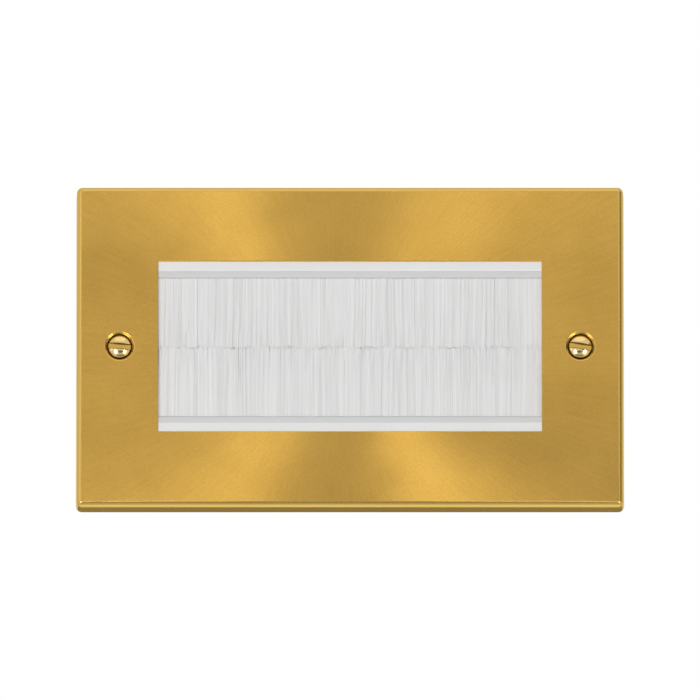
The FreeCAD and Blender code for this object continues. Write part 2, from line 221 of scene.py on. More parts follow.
def softenedCopy(node, slot, width):
    # the CAD node's own form, merged, with its flat parts made whole and its edges rounded
    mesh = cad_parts[node].data.copy()
    mesh.name = node + "_soft"
    flat = math.radians(softening["flat"])
    work = bmesh.new()
    work.from_mesh(mesh)
    bmesh.ops.remove_doubles(work, verts=work.verts, dist=softening["merge"] * mm)
    bmesh.ops.dissolve_limit(work, angle_limit=flat, verts=work.verts, edges=work.edges)
    work.to_mesh(mesh)
    work.free()
    mesh.polygons.foreach_set("use_smooth", np.ones(len(mesh.polygons), bool))
    mesh.update()
    piece = newObject(node + "_soft", mesh)
    bevel = piece.modifiers.new("edges", "BEVEL")
    bevel.width = width * mm
    bevel.segments = softening["segments"]
    bevel.limit_method = "ANGLE"
    bevel.angle_limit = math.radians(softening["sharp"])
    bevel.harden_normals = True
    finishPiece(piece, node, slot)


class Tree:
    # the nodes of a material or world, made by the few kinds that are used

    def __init__(self, owner, shader="Principled BSDF"):
        owner.use_nodes = True
        self.owner = owner
        self.shader = owner.node_tree.nodes[shader]

    def set(self, node, sockets):
        # each socket gets a link or a value
        for key, value in sockets.items():
            if isinstance(value, bpy.types.NodeSocket):
                self.owner.node_tree.links.new(value, node.inputs[key])
            else:
                node.inputs[key].default_value = value

    def add(self, kind, output, sockets=None, **settings):
        node = self.owner.node_tree.nodes.new("ShaderNode" + kind)
        for key, value in settings.items():
            setattr(node, key, value)
        self.set(node, sockets or {})
        return node.outputs[output]

    def objectPattern(self, scale=(1, 1, 1)):
        return self.add("Mapping", "Vector", {"Vector": self.add("TexCoord", "Object"), "Scale": scale})

    def radialPattern(self, outwards, around):
        # cells per unit of the front plate's own map, outwards from the satin's centre and round it
        place = self.add("UVMap", "UV", uv_map="radial")
        return self.add("Mapping", "Vector", {"Vector": place, "Scale": (outwards, around, 1)})

    def noise(self, vector, scale, detail=2.0, rough=0.5):
        sockets = {"Vector": vector, "Scale": scale, "Detail": detail, "Roughness": rough}
        return self.add("TexNoise", "Fac", sockets)

    def spread(self, value, low, high, fromLow=0.3, fromHigh=0.7):
        # maps a texture's value to the range from low to high
        sockets = {"Value": value, "From Min": fromLow, "From Max": fromHigh, "To Min": low, "To Max": high}
        return self.add("MapRange", "Result", sockets)

    def blend(self, factor, first, second):
        # from a value or colour to another; the second is a fixed one
        kind = "RGBA" if isinstance(second, tuple) else "FLOAT"
        first, second = [(*v, 1) if isinstance(v, tuple) else v for v in (first, second)]
        return self.add("Mix", "Result", {"Factor": factor, "A": first, "B": second}, data_type=kind)

    def attribute(self, name):
        return self.add("Attribute", "Fac", attribute_name=name)

    def finish(self, height, relief, sockets):
        # the shader's sockets, and a bump of some strength and depth in millimetres
        bump = {"Strength": relief[0], "Distance": relief[1] * mm, "Height": height}
        self.set(self.shader, {"Normal": self.add("Bump", "Normal", bump), **sockets})
        return self.owner

    def seenDirectly(self):
        # 1 where the camera, metal or glass sees the background
        seen = self.add("LightPath", "Is Camera Ray")
        for other in ("Is Glossy Ray", "Is Transmission Ray"):
            seen = self.add("Math", 0, {0: seen, 1: self.add("LightPath", other)}, operation="MAXIMUM")
        return seen

    def whiten(self, share, white, output):
        # white takes a share of the place of the shader
        mixed = self.add("MixShader", 0, {0: share, 1: self.shader.outputs[0], 2: white})
        self.set(self.owner.node_tree.nodes[output], {"Surface": mixed})


def newLook(name):
    return Tree(bpy.data.materials.new(name))


satinBrass = {
    "light": (0.645, 0.385, 0.073),
    "deep": (0.485, 0.280, 0.044),
    "rim": (0.92, 0.72, 0.36),  # tint of what it mirrors at a glancing angle
    "centre": (-4.0, -4.5),  # x and z of the middle of its circles
    "turned": (0.58, 0.385, 0.09),  # paler where the sheet turns back: a painted sheen for the lacquer's whiter highlights there
    "recessShade": (0.10, 0.05, 0.008),  # painted shade in the bottom of the dimples
    "roughness": (0.38, 0.44),
    "edgeRoughness": 0.17,
    "anisotropy": 0.93,
    "speckle": 2600.0,  # cells of the fine satin grain per metre
    "speckleGain": 1.5,
    "lacquer": 0.35,
    "lacquerRoughness": 0.1,
    "cloud": 60.0,
    "cloudTone": (-0.45, -0.05),
    "relief": (0.16, 0.02),  # strength, and depth in millimetres
    "mapUnits": (10.0, 3.0),  # units of the plate's own map for a metre outwards and for one turn
    "rays": (7.0, 150.0),  # cells per unit of that map, along the rays and round the centre
    "rayStrength": 0.11,
}


def makeSatinBrass():
    # satin worked in circles: fine speckle over slow clouds of tone, with faint rays outwards
    look = newLook("satinBrass")
    place = look.objectPattern()
    speckle = look.noise(place, satinBrass["speckle"], 2.0, 0.6)
    cloud = look.spread(look.noise(place, satinBrass["cloud"], 3.0), *satinBrass["cloudTone"])
    rays = look.noise(look.radialPattern(*satinBrass["rays"]), 1.0, 2.0, 0.6)
    rays = look.spread(rays, -satinBrass["rayStrength"], satinBrass["rayStrength"])
    both = {0: speckle, 1: satinBrass["speckleGain"], 2: cloud}
    both = look.add("Math", 0, both, operation="MULTIPLY_ADD")
    share = look.add("Math", 0, {0: both, 1: rays}, operation="ADD")
    tone = look.blend(share, satinBrass["deep"], satinBrass["light"])
    polish = look.attribute("polish")
    # the turned edges' paler tone is a painted sheen; their lower roughness is their real polish
    tone = look.blend(polish, tone, satinBrass["turned"])
    gloss = look.spread(speckle, *satinBrass["roughness"])
    return look.finish(speckle, satinBrass["relief"], {
        # painted shade: the recess colour darkens the bottom of the dimples
        "Base Color": look.blend(look.attribute("recessShade"), tone, satinBrass["recessShade"]),
        "Roughness": look.blend(polish, gloss, satinBrass["edgeRoughness"]),
        "Metallic": 1.0,
        "Specular Tint": (*satinBrass["rim"], 1),
        "Anisotropic": satinBrass["anisotropy"],
        "Coat Weight": satinBrass["lacquer"],
        "Coat Roughness": satinBrass["lacquerRoughness"],
        "Tangent": look.add("Tangent", 0, direction_type="UV_MAP", uv_map="radial"),
    })


polishedBrass = {
    "bright": (0.76, 0.58, 0.28),
    "deep": (0.60, 0.42, 0.15),
    "floor": (0.58, 0.35, 0.075),  # the sawn slot's floor
    "shade": (0.09, 0.045, 0.006),  # painted shade on the slot's walls and round the rim
    "roughness": (0.08, 0.15),
    "cutRoughness": 0.34,
    "scratch": 2500.0,
    "relief": (0.06, 0.02),
}


def makePolishedBrass():
    # bright lacquered brass with faint turning marks; attribute "cut" is 0.5 on the sawn slot's
    # floor and 1 on its walls and the rim, where painted shade goes
    look = newLook("polishedBrass")
    marks = look.noise(look.objectPattern(), polishedBrass["scratch"], 3.0)
    tone = look.blend(marks, polishedBrass["deep"], polishedBrass["bright"])
    cut = look.attribute("cut")
    # the slot's floor gets its own tone, its walls and the rim painted shade
    for colour, low, high in (("floor", 0.0, 0.5), ("shade", 0.5, 1.0)):
        tone = look.blend(look.spread(cut, 0, 1, low, high), tone, polishedBrass[colour])
    gloss = look.spread(marks, *polishedBrass["roughness"])
    return look.finish(marks, polishedBrass["relief"], {
        "Base Color": tone,
        "Roughness": look.blend(cut, gloss, polishedBrass["cutRoughness"]),
        "Metallic": 1.0,
    })


# The other materials: two tones, range of roughness, cells per metre, strength and depth of
# relief. The first four also have a soft mottle and say whether they are metal.
plainLooks = {
    "plainBrass": {
        "tones": ((0.42, 0.27, 0.09), (0.56, 0.38, 0.15)),
        "roughness": (0.28, 0.42),
        "cells": (300.0, 2400.0),
        "mottle": 3.0,
        "relief": (0.12, 0.03),
        "metal": 1.0,
    },
    "platedSteel": {
        "tones": ((0.45, 0.46, 0.47), (0.6, 0.61, 0.63)),
        "roughness": (0.25, 0.4),
        "cells": (325.0, 2600.0),
        "mottle": 3.0,
        "relief": (0.12, 0.03),
        "metal": 1.0,
    },
    "whiteMoulding": {
        "tones": ((0.738, 0.742, 0.75), (0.778, 0.782, 0.79)),
        "roughness": (0.38, 0.5),
        "cells": (45.0, 3500.0),
        "mottle": 2.0,
        "relief": (0.1, 0.03),
        "metal": 0.0,
    },
    "blackNylon": {
        "tones": ((0.018, 0.018, 0.019), (0.03, 0.03, 0.032)),
        "roughness": (0.4, 0.55),
        "cells": (45.0, 2500.0),
        "mottle": 2.0,
        "relief": (0.15, 0.03),
        "metal": 0.0,
    },
}
greyExtrusion = {
    "tones": ((0.585, 0.585, 0.585), (0.635, 0.635, 0.632)),
    "roughness": (0.42, 0.55),
    "lines": 4000.0,
    "stretch": (0.02, 1, 1),
    "relief": (0.08, 0.02),
}
whiteFilament = {
    "tones": ((0.715, 0.712, 0.710), (0.785, 0.782, 0.780)),
    "roughness": (0.4, 0.55),
}


def makePlain(name):
    # machined or plated metal, or moulded plastic: a soft mottle under a fine grain
    sizes = plainLooks[name]
    look = newLook(name)
    place = look.objectPattern()
    coarse, fine = sizes["cells"]
    mottle = look.spread(look.noise(place, coarse, sizes["mottle"]), 0, 1)
    grain = look.noise(place, fine)
    return look.finish(grain, sizes["relief"], {
        "Base Color": look.blend(mottle, *sizes["tones"]),
        "Roughness": look.spread(grain, *sizes["roughness"]),
        "Metallic": sizes["metal"],
    })


def makeExtrusion():
    # drawn plastic section: faint lines along its length
    look = newLook("greyExtrusion")
    lines = look.noise(look.objectPattern(greyExtrusion["stretch"]), greyExtrusion["lines"])
    return look.finish(lines, greyExtrusion["relief"], {
        "Base Color": look.blend(lines, *greyExtrusion["tones"]),
        "Roughness": look.spread(lines, *greyExtrusion["roughness"]),
    })


def makeFilament():
    # nylon filaments: each has its own tone, kept as an attribute of the mesh
    look = newLook("whiteFilament")
    tone = look.attribute("tone")
    look.set(look.shader, {
        "Base Color": look.blend(tone, *whiteFilament["tones"]),
        "Roughness": look.spread(tone, *whiteFilament["roughness"], 0, 1),
    })
    return look.owner


# Front plate
def outlineAt(inset, straightX, straightZ, corner):
    # A rounded rectangle at some insets, as [u, inset] points: u runs up the right side, along
    # the top and so on. A corner's points lie on an arc whose radius shrinks with the inset.
    inset = np.asarray(inset, float)[None, :]
    halfX, halfZ = plate["width"] / 2, plate["height"] / 2
    turn = np.radians(np.linspace(0, 90, plate["cornerSteps"] + 1))[:, None]
    radius = np.maximum(corner - inset, 0)
    centreX = halfX - np.maximum(inset, corner)
    centreZ = halfZ - np.maximum(inset, corner)
    cornerX = centreX + radius * np.cos(turn)
    cornerZ = centreZ + radius * np.sin(turn)
    topX, topZ = np.broadcast_arrays(straightX[::-1, None], halfZ - inset)
    sideX, sideZ = np.broadcast_arrays(halfX - inset, straightZ[:, None])
    x = [sideX, cornerX, topX, -cornerX[::-1], -sideX, -cornerX, -topX, cornerX[::-1]]
    z = [sideZ, cornerZ, topZ, cornerZ[::-1], -sideZ, -cornerZ, -topZ, -cornerZ[::-1]]
    return np.concatenate(x), np.concatenate(z)


def edgeProfile():
    # the sheet's section from the face over the roll and the skirt to the rim and back inside,
    # as (inset, y) points
    face, sheet, flare = -plate["depth"], plate["sheet"], plate["flare"]
    roll, corner, steps = plate["roll"], plate["corner"], plate["rollSteps"]
    centre = np.array([flare + roll, face + plate["rollDepth"]])
    outer = centre + roundSteps((0, 0), -1, 90, 0, steps) * (roll, plate["rollDepth"])
    inner = centre + roundSteps((0, 0), -1, 0, 90, steps) * (roll - sheet, plate["rollDepth"] - sheet)
    soft = plate["cutEdge"]
    rim = [(0, -soft), (soft, 0), (sheet - soft, 0), (sheet, -soft)]
    return np.concatenate([[(corner, face)], outer, rim, inner, [(corner, face + sheet)]])


def apertureHalf():
    # half sizes of the aperture where its rounded edges start
    return [plate[key] / 2 + plate["cutEdge"] for key in ("apertureWidth", "apertureHeight")]


def gridLines():
    # X and Z values of the flat parts' grid: the borders, the aperture's edges and the squares
    # round the dimples, with the wide spaces between them divided
    halfX = plate["width"] / 2 - plate["corner"]
    halfZ = plate["height"] / 2 - plate["corner"]
    edgeX, edgeZ = apertureHalf()
    screw, pad = plate["fixingCentres"] / 2, plate["pad"]
    square = np.linspace(-pad, pad, plate["dimpleSteps"] + 1)

    def between(start, stop):
        return np.linspace(start, stop, max(int((stop - start) / plate["gridStep"]) + 1, 2))

    def bothWays(*parts):
        values = np.unique(np.concatenate(parts).round(6))
        return np.unique(np.concatenate([-values, values]))

    xs = bothWays(between(0, edgeX), screw + square, between(screw + pad, halfX))
    return xs, bothWays(square[square >= 0], between(pad, edgeZ), between(edgeZ, halfZ))


def makeFrontPlate():
    shell = Shell()
    xs, zs = gridLines()
    profile = edgeProfile()
    x, z = outlineAt(profile[:, 0], xs, zs, plate["corner"])
    shell.addGrid(stackPoints(x, profile[:, 1], z), closeU=True)

    # both flat faces, without the aperture and the squares round the dimples
    edgeX, edgeZ = apertureHalf()
    screw, pad = plate["fixingCentres"] / 2, plate["pad"]
    midX = (xs[:-1] + xs[1:])[:, None] / 2
    midZ = (zs[:-1] + zs[1:])[None, :] / 2
    aperture = (abs(midX) < edgeX) & (abs(midZ) < edgeZ)
    square = (abs(abs(midX) - screw) < pad) & (abs(midZ) < pad)
    keep = ~(aperture | square)
    gridX, gridZ = np.meshgrid(xs, zs, indexing="ij")
    face, back = -plate["depth"], plate["sheet"] - plate["depth"]
    for level, flip in ((face, False), (back, True)):
        shell.addGrid(stackPoints(gridX, level, gridZ), keep=keep, flip=flip)

    # the aperture's cut: round edges on a rectangle, front to back
    soft = plate["cutEdge"]
    cut = np.concatenate([
        roundSteps((soft, face + soft), -soft, 90, 0, plate["cutSteps"]),
        roundSteps((soft, back - soft), -soft, 0, -90, plate["cutSteps"]),
    ])
    x, z = cutOutline(cut[:, 0], xs, zs, edgeX - soft, edgeZ - soft)
    shell.addGrid(stackPoints(x, cut[:, 1], z), closeU=True, flip=True)

    # the dimples: from the square on the face down the cone, through the bore to the back
    for side in (-1, 1):
        shell.addGrid(dimpleGrid(side * screw), closeU=True)
    piece = shell.build("front_plate_skin")
    addRadialMap(piece)
    markPlate(piece)
    finishPiece(piece, "front_plate", "satin_brass")


def markPlate(piece):
    # attribute "polish" is 0 on the flat face and 1 where the sheet turns back, which the satin
    # wheel doesn't reach (there the tone turns to a paler painted sheen); "recess" rises to 1 at the bottom
    # of the dimples, as painted shade
    mesh = piece.data
    x, y, z = readValues(mesh.vertices, "co", 3).T / mm
    hair = 0.005
    setAttribute(mesh, "polish", y > hair - plate["depth"])
    reach = np.hypot(abs(x) - plate["fixingCentres"] / 2, z)
    low, high = plate["recessShade"]
    setAttribute(mesh, "recessShade", np.clip((high - reach) / (high - low), 0, 1))


def cutOutline(outset, xs, zs, halfX, halfZ):
    # a sharp rectangle at some outsets, with the grid's own X and Z values as its points
    alongX = xs[abs(xs) <= halfX + plate["cutEdge"] + 1e-6]
    alongZ = zs[abs(zs) <= halfZ + plate["cutEdge"] + 1e-6]
    outset = np.asarray(outset, float)[None, :]
    shareX = alongX[:, None] / alongX.max()
    shareZ = alongZ[:, None] / alongZ.max()
    sideX, sideZ = np.broadcast_arrays(halfX + outset, shareZ * (halfZ + outset))
    topX, topZ = np.broadcast_arrays(shareX[::-1] * (halfX + outset), halfZ + outset)
    x = [sideX[:-1], topX[:-1], -sideX[:-1], -topX[:-1]]
    z = [sideZ[:-1], topZ[:-1], -sideZ[:-1], -topZ[:-1]]
    return np.concatenate(x), np.concatenate(z)


def dimpleGrid(x0):
    # rays from a dimple's axis meet the square's border, then the circles of the pressed cone,
    # in front and behind; behind, the mouth is wider by sheet * tan(bend / 2)
    face, sheet = -plate["depth"], plate["sheet"]
    mouth, bore, pad = plate["dimpleMouth"] / 2, plate["dimpleBore"] / 2, plate["pad"]
    soft = plate["dimpleEdge"]
    slope = math.atan2(plate["dimpleSeat"], mouth - bore)
    run = soft * math.tan(slope / 2)
    seat = face + plate["dimpleSeat"]
    end = seat + plate["dimpleLip"]
    swell = sheet * math.tan(math.radians(plate["dimpleBend"] / 2))
    back = face + sheet
    steps = plate["mouthSteps"]
    rounding = roundSteps((mouth + run, face + soft), -soft, 90, 90 - math.degrees(slope), steps)
    cone = [(r, face + (mouth - r) * math.tan(slope)) for r in plate["recessShade"][::-1]]
    flatFront, flatBack = plate["dimpleFlat"]
    section = [(mouth + run + flatFront, face), *rounding, *cone, (bore, seat), (bore, end)]
    section += [(mouth + swell - (end - back), end), (mouth + swell, back)]
    section.append((mouth + swell + flatBack, back))
    radius = np.array([r for r, _ in section])
    depth = np.array([y for _, y in section])
    side = np.linspace(-pad, pad, plate["dimpleSteps"] + 1)[:-1]
    fixed = np.full_like(side, pad)
    borderX = np.concatenate([fixed, -side, -fixed, side])
    borderZ = np.concatenate([side, fixed, -side, -fixed])
    reach = np.hypot(borderX, borderZ)
    circleX = (borderX / reach)[:, None] * radius
    circleZ = (borderZ / reach)[:, None] * radius
    x = np.concatenate([borderX[:, None], circleX, borderX[:, None]], 1) + x0
    z = np.concatenate([borderZ[:, None], circleZ, borderZ[:, None]], 1)
    return stackPoints(x, np.concatenate([[face], depth, [back]]), z)


# Screws: the head is cut in chords that run along its slot
screw = {
    "head": 6.16,
    "dome": 1.15,
    "rimFace": 0.67,  # from the plate's face back to the edge of the dome
    "rimEnd": 0.815,  # from the plate's face back to where the cone starts
    "edge": 0.28,  # rounding from the dome to the rim
    "slot": 1.3,
    "slotDepth": 1.0,
    "slotEdge": 0.15,
    "slotSag": 0.2,  # how much deeper the slot is at its ends
    "markDepth": 0.4,  # how far behind the dome's edge the slot's marks may go
    "shade": 2.9,  # radius from which the rim gets painted shade
    "tilt": {"left": 5.0, "right": 9.0},  # degrees, right end down
    "length": 25.0,
    "waist": 2.9,
    "neck": 0.3,  # how far the shank reaches into the head, and the length of its taper
    "thread": 3.5,
    "threadPitch": 0.6,
    "threadDepth": 0.33,
    "threadStart": 2.45,  # behind the plate's rim, towards the face
    "point": 0.8,
    "around": 72,
}
earthScrew = {
    "place": (61.5, -23.8),  # x and z
    "head": 5.0,
    "dome": 0.0,
    "headStart": 8.0,
    "headEnd": 9.8,
    "edge": 0.35,
    "slot": 0.8,
    "slotDepth": 0.9,
    "slotEdge": 0.05,
    "slotSag": 0.2,
    "thread": 3.1,
    "threadPitch": 0.5,
    "threadDepth": 0.26,
    "threadEnd": 1.9,  # from the top of the head back to the thread
    "neck": 1.5,  # from there back to the end of the shank, inside the head
    "tip": 2.95,
    "tipShare": 0.8,
    "tipTaper": 0.3,
    "around": 48,
}
thread = {
    "around": 24,
    "perTurn": 6,  # rings of points in one pitch
    "steepness": 2.6,  # of the groove's flanks
    "crest": 0.15,  # how much of the flank stays at the full radius
    "runOut": 0.3,  # share of a pitch that the last groove goes on at full depth
}


def domeHeight(r, radius, dome, edge):
    # height over the rim at a distance r from the axis: a ball's cap, then a rounded edge that
    # leaves the cap at a tangent and turns straight down at the rim; dome 0 is a flat head
    if dome <= 0:
        start, centre, level = radius - edge, radius - edge, -edge
        cap = np.zeros_like(r)
    else:
        ball = (radius**2 + dome**2) / (2 * dome)
        start = (radius - edge) / (1 - edge / ball)
        centre = radius - edge
        level = math.sqrt(ball**2 - start**2) - (ball - dome) - edge * math.sqrt(1 - (start / ball) ** 2)
        cap = np.sqrt(np.maximum(ball**2 - r**2, 0)) - (ball - dome)
    turned = level + np.sqrt(np.maximum(edge**2 - (r - centre) ** 2, 0))
    return np.where(r < start, cap, turned)


def slottedHead(shell, sizes, put):
    # a grid of chords across the disc; between the slot's walls the height is the floor's. The
    # border's points then carry the rim. put turns (u, height, w) into places on the object.
    radius, half, slotEdge = sizes["head"] / 2, sizes["slot"] / 2, sizes["slotEdge"]
    turn = np.linspace(-90, 90, sizes["around"] // 2 + 1)
    rows = radius * np.sin(np.radians(turn))
    outer = rows[abs(rows) > half + slotEdge * 2]
    lower = np.concatenate([outer[outer < 0], [-half - slotEdge, -half]])
    upper = -lower[::-1]
    floor = np.linspace(-half, half, 5)
    across = np.concatenate([lower, floor, upper])
    isFloor = np.concatenate([lower * 0, floor * 0 + 1, upper * 0])[:, None] > 0
    drop = np.zeros_like(across)
    drop[len(lower) - 1] = slotEdge
    drop[len(lower) + len(floor)] = slotEdge
    chord = np.sqrt(np.maximum(radius**2 - across**2, 0))
    u = np.sin(np.radians(turn))[None, :] * chord[:, None]
    w = np.broadcast_to(across[:, None], u.shape)
    height = domeHeight(np.hypot(u, w), radius, sizes["dome"], sizes["edge"])
    bottom = sizes["dome"] - sizes["slotDepth"] - sizes["slotSag"] * (u / radius) ** 2
    height = np.where(isFloor, np.minimum(bottom, height), height - drop[:, None])
    shell.addGrid(put(u, height, w), flip=True)
    sides = [
        (slice(0, 1), slice(None)),
        (slice(1, None), slice(-1, None)),
        (slice(-1, None), slice(-2, None, -1)),
        (slice(-2, 0, -1), slice(0, 1)),
    ]
    border = np.concatenate([np.stack([a[s].ravel() for a in (u, height, w)], -1) for s in sides])
    return border[np.hypot(border[:, 0], border[:, 2]) > radius * 0.999]


def addSkirt(shell, border, levels, put):
    # the head's border goes on as rings of some share of its radius at their own heights
    rings = [stackPoints(border[:, 0] * share, height, border[:, 2] * share) for share, height in levels]
    skirt = np.stack(rings, 1)
    shell.addGrid(put(*np.moveaxis(skirt, -1, 0)), closeU=True)


def threadedRod(shell, place, span, sizes, before, after):
    # a rod along y whose radius falls into a rounded groove that climbs one pitch a turn; before
    # and after are the (radius, y) points that come before the thread and after it
    turn = np.linspace(0, 2 * np.pi, thread["around"] + 1)[:-1]
    start, stop = span
    radius, pitch, depth = sizes["thread"] / 2, sizes["threadPitch"], sizes["threadDepth"]
    y, angle = np.meshgrid(np.arange(start, stop + 1e-6, pitch / thread["perTurn"]), turn, indexing="ij")
    phase = (y / pitch - angle / (2 * np.pi)) % 1
    fade = np.clip((y - start) / pitch, 0, 1) * np.clip((stop - y) / pitch + thread["runOut"], 0, 1)
    r = radius - depth * fade * np.clip(abs(phase - 0.5) * thread["steepness"] - thread["crest"], 0, 1)
    ends = [np.repeat(np.array(points)[:, None], len(turn), 1) for points in (before, after)]
    rows = np.concatenate([ends[0], np.stack([r, y], -1), ends[1]])
    x = rows[..., 0] * np.cos(turn) + place[0]
    z = rows[..., 0] * np.sin(turn) + place[1]
    shell.addGrid(stackPoints(x, rows[..., 1], z), closeV=True)


def markSlot(piece, rimY, x0, tilt):
    # attribute "cut": 0.5 on the slot's floor, 1 on its walls and their edges and on the rim, where painted
    # shade goes
    mesh = piece.data
    centres = readValues(mesh.polygons, "center", 3) / mm - (x0, 0, 0)
    c, s = math.cos(math.radians(tilt)), math.sin(math.radians(tilt))
    w = centres[:, 0] * s + centres[:, 2] * c
    reach = np.hypot(centres[:, 0], centres[:, 2])
    surface = rimY - domeHeight(reach, screw["head"] / 2, screw["dome"], screw["edge"])
    below = centres[:, 1] - surface
    near = abs(abs(w) - screw["slot"] / 2)
    front = centres[:, 1] < rimY + screw["markDepth"]
    hair = 0.01  # this close to the slot's wall is on it
    cut = 0.5 * ((abs(w) < screw["slot"] / 2 - hair) & (below > 3 * hair) & front)
    cut[(near < hair) & (below > 2 * hair) & front] = 1.0
    cut[(near < screw["slotEdge"]) & (below > 0.1 * hair) & front] = 1.0
    cut[(reach > screw["shade"]) & front] = 1.0
    setAttribute(mesh, "cut", cut, "FACE")


def makeFixingScrew(side, node):
    radius, waist, neck = screw["head"] / 2, screw["waist"] / 2, screw["neck"]
    face = -plate["depth"]
    rimY, endY = face + screw["rimFace"], face + screw["rimEnd"]
    x0 = plate["fixingCentres"] / 2 * (1 if side == "right" else -1)
    tilt = screw["tilt"][side]
    c, s = math.cos(math.radians(tilt)), math.sin(math.radians(tilt))

    def put(u, height, w):
        return stackPoints(x0 + u * c + w * s, rimY - height, -u * s + w * c)

    shell = Shell()
    border = slottedHead(shell, screw, put)
    coneY = endY + radius - waist
    top = border[:, 1]
    low = np.minimum(top, rimY - endY)
    cone = top * 0 + rimY - coneY
    addSkirt(shell, border, [(1.0, top), (1.0, low), (waist / radius, cone), (0.0, cone)], put)
    tipY = rimY + screw["length"]
    shank, point, start = screw["thread"] / 2, screw["point"], -screw["threadStart"]
    before = [(0.0, coneY - neck), (waist, coneY - neck), (waist, start - neck)]
    after = [(shank - point / 2, tipY), (0.0, tipY)]
    threadedRod(shell, (x0, 0), (start, tipY - point), screw, before, after)
    piece = shell.build(node + "_turned", sharp=40)
    markSlot(piece, rimY, x0, tilt)
    finishPiece(piece, node, "polished_brass")


def makeEarthScrew():
    x0, z0 = earthScrew["place"]
    top, tip = earthScrew["headEnd"], earthScrew["tip"]

    def put(u, height, w):
        return stackPoints(x0 - u, top + height, z0 + w)

    shell = Shell()
    border = slottedHead(shell, earthScrew, put)
    bottom = border[:, 1] * 0 + earthScrew["headStart"] - top
    addSkirt(shell, border, [(1.0, border[:, 1]), (1.0, bottom), (0.0, bottom)], put)
    shank, inside = earthScrew["thread"] / 2, top - earthScrew["neck"]
    before = [(0.0, tip), (shank * earthScrew["tipShare"], tip)]
    after = [(shank, inside), (0.0, inside)]
    span = tip + earthScrew["tipTaper"], top - earthScrew["threadEnd"]
    threadedRod(shell, (x0, z0), span, earthScrew, before, after)
    piece = shell.build("earth_screw_turned", sharp=40)
    finishPiece(piece, "earth_screw", "plated_steel")


# Studs and nuts behind the plate
stud = {
    "centres": (44.0, 31.6),
    "thread": 3.0,
    "threadPitch": 0.5,
    "threadDepth": 0.24,
    "start": -6.1,
    "plain": 0.5,  # smooth length at the sheet
    "threadStart": 0.9,  # from the sheet
    "end": -0.3,
    "chamfer": 0.3,
}
nut = {
    "flats": 5.5,
    "bore": 3.1,
    "start": -2.9,
    "end": -0.5,
    "countersink": 0.25,
    "face": 0.97,  # width of the round flat ends, as a share of the flats
    "bevel": 30.0,  # degrees
    "step": 5,  # degrees from point to point
}


def studPlaces():
    x, z = stud["centres"]
    return [(-x, -z), (x, -z), (-x, z), (x, z)]


def makeStuds():
    shell = Shell()
    radius, chamfer = stud["thread"] / 2, stud["chamfer"]
    start, end = stud["start"], stud["end"]
    before = [(0.0, start), (radius, start), (radius, start + stud["plain"])]
    after = [(radius - chamfer, end), (0.0, end)]
    span = start + stud["threadStart"], end - chamfer
    for place in studPlaces():
        threadedRod(shell, place, span, stud, before, after)
    finishPiece(shell.build("plate_studs_threaded", sharp=40), "plate_studs", "plated_steel")


def makeNuts():
    # a hexagon cut by a cone at both ends: the flats' edges become arcs; the bore has chamfers
    shell = Shell()
    turn = np.radians(np.arange(0, 360, nut["step"]))
    flats, bore, sink = nut["flats"] / 2, nut["bore"] / 2, nut["countersink"]
    hexagon = flats / np.cos((turn + np.pi / 6) % (np.pi / 3) - np.pi / 6)
    low, high = nut["start"], nut["end"]
    bevel = np.maximum(hexagon - flats * nut["face"], 0) * math.tan(math.radians(nut["bevel"]))
    rings = [(bore, low + sink), (bore + sink, low), (flats * nut["face"], low), (hexagon, low + bevel)]
    rings += [(r, low + high - y) for r, y in rings[::-1]]
    radius, y = (np.stack([turn * 0 + pair[n] for pair in rings]) for n in (0, 1))
    for x0, z0 in studPlaces():
        x = radius * np.cos(turn) + x0
        z = radius * np.sin(turn) + z0
        shell.addGrid(stackPoints(x, y, z), closeU=True, closeV=True)
    finishPiece(shell.build("stud_nuts_chamfered", sharp=25), "stud_nuts", "plated_steel")


# Strip holders: one extruded section each
holder = {
    "halfLength": 50.3,
    "nose": (-5.95, -5.35),  # front and back of the lip that shows
    "mouth": 18.5,
    "top": 23.3,
    "step": 20.1,
    "noseTop": 20.185,
    "noseBack": -5.05,
    "neck": -5.0,
    "front": -4.8,
    "back": -1.2,
    "cavity": (-4.2, -1.8, 22.7),  # front, back and top of the channel's pocket
    "ledge": 19.5,
    "edge": 0.1,
    "mouthEdge": 0.42,
    "noseEdge": 0.05,
    "lipEdge": 0.02,
}


def makeHolder(side, node):
    # the section's corners are rounded, then it is carried along x
    front, back = holder["nose"]
    pocketFront, pocketBack, pocketTop = holder["cavity"]
    soft, mouth = holder["edge"], holder["mouth"]
    corners = [
        (front, mouth, holder["mouthEdge"]),
        (front, holder["noseTop"], holder["noseEdge"]),
        (holder["noseBack"], holder["noseTop"], 0),
        (holder["neck"], holder["step"], 0),
        (holder["front"], holder["step"], 0),
        (holder["front"], holder["top"], soft),
        (holder["back"], holder["top"], soft),
        (holder["back"], mouth, soft * 2),
        (pocketBack, mouth, soft * 2),
        (pocketBack, pocketTop, soft),
        (pocketFront, pocketTop, soft),
        (pocketFront, holder["ledge"], 0),
        (back, holder["ledge"], 0),
        (back, mouth, holder["lipEdge"]),
    ]
    section = roundCorners([c[:2] for c in corners], [c[2] for c in corners])
    grid = np.empty((len(section), 2, 3))
    grid[..., 0] = (-holder["halfLength"], holder["halfLength"])
    grid[..., 1] = section[:, :1]
    grid[..., 2] = section[:, 1:] * side
    shell = Shell()
    shell.addGrid(grid, closeU=True, flip=side > 0)
    shell.addCap(grid[:, 0], flip=side < 0)
    shell.addCap(grid[:, 1], flip=side > 0)
    finishPiece(shell.build(node + "_drawn", sharp=25), node, "grey_extrusion")


